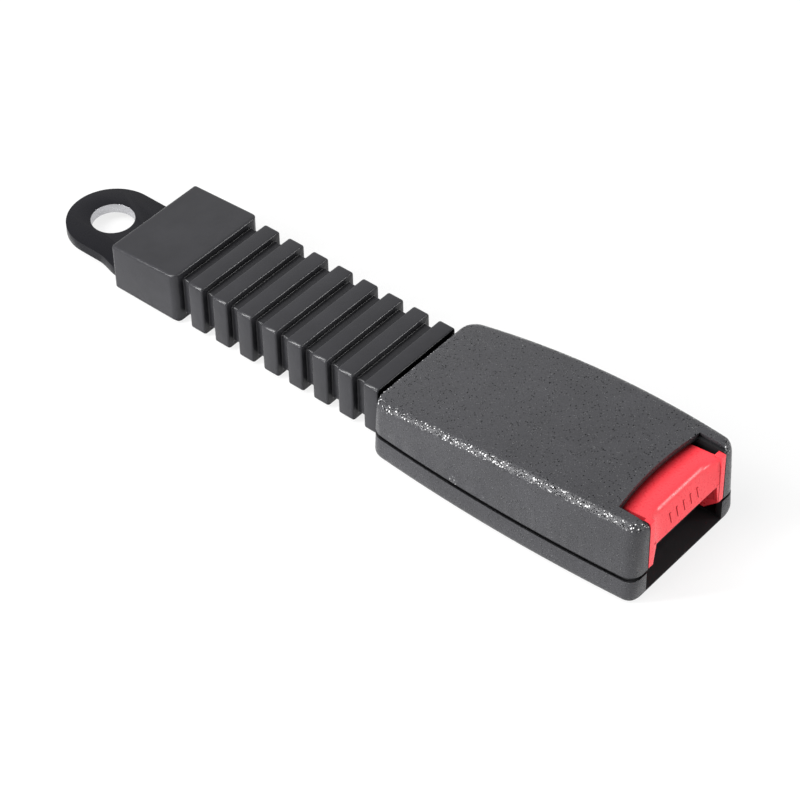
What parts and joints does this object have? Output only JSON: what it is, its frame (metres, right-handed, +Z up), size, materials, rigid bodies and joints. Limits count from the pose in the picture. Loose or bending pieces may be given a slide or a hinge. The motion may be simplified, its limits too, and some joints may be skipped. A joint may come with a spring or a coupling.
{
  "type": "seat belt extender",
  "caption": "Bolt-on seat belt extender: steel eye plate, ribbed plastic sleeve over a wire rope loop, and a press-button buckle with latch and ejector.",
  "frame": {"origin": "bottom centre of the part's box, on the surface that the buckle's lower cover rests on", "axes": "+X along the part from the eye plate to the buckle's mouth, +Z up through the button, +Y across"},
  "size_m": [0.2028, 0.045, 0.0247],
  "materials": {
    "black_paint": "smooth black coating on steel",
    "sleeve_plastic": "smooth satin black moulding",
    "cover_plastic": "finely grained black moulding",
    "lower_plastic": "finely grained black moulding",
    "button_plastic": "satin red moulding",
    "plated_steel": "zinc plated steel",
    "rope_steel": "bare stranded steel",
    "crimp_metal": "plain aluminium",
    "spring_steel": "drawn spring wire",
    "guide_plastic": "plain black moulding",
    "ejector_plastic": "natural acetal"
  },
  "bodies": {
    "root": {"anchor_plate": "black_paint", "cable_ferrule": "crimp_metal", "ferrule_rivet_rear": "plated_steel", "ferrule_rivet_front": "plated_steel", "cable_loop": "rope_steel", "ribbed_sleeve": "sleeve_plastic", "upper_cover": "cover_plastic", "lower_cover": "lower_plastic", "buckle_frame": "plated_steel", "cable_saddle": "plated_steel", "saddle_rivet": "plated_steel", "tongue_guide": "guide_plastic", "latch_pivot_pin": "plated_steel", "spring_bridge": "plated_steel", "latch_spring": "spring_steel", "ejector_spring": "spring_steel", "button_spring_left": "spring_steel", "button_spring_right": "spring_steel"},
    "button": {"press_button": "button_plastic"},
    "latch": {"latch": "plated_steel"},
    "ejector": {"ejector": "ejector_plastic"}
  },
  "joints": [
    {"name": "button_slide", "type": "slide", "parent": "root", "child": "button", "axis": [-1, 0, 0], "range_m": [0, 0.005], "stiffness_N_per_m": 800, "springref_m": -0.008, "deforming": ["button_spring_left", "button_spring_right"]},
    {"name": "latch_hinge", "type": "hinge", "parent": "root", "child": "latch", "pos_m": [0.05329, 0, 0.0108], "axis": [0, -1, 0], "range_deg": [0, 10], "stiffness_Nm_per_rad": 0.4, "springref_deg": -11.46, "deforming": ["latch_spring"]},
    {"name": "ejector_slide", "type": "slide", "parent": "root", "child": "ejector", "axis": [-1, 0, 0], "range_m": [0, 0.009], "stiffness_N_per_m": 300, "springref_m": -0.004, "deforming": ["ejector_spring"]}
  ],
  "couplings": [
    {"joint": "latch_hinge", "follows": "button_slide", "rad_per_m": 34.5}
  ]
}
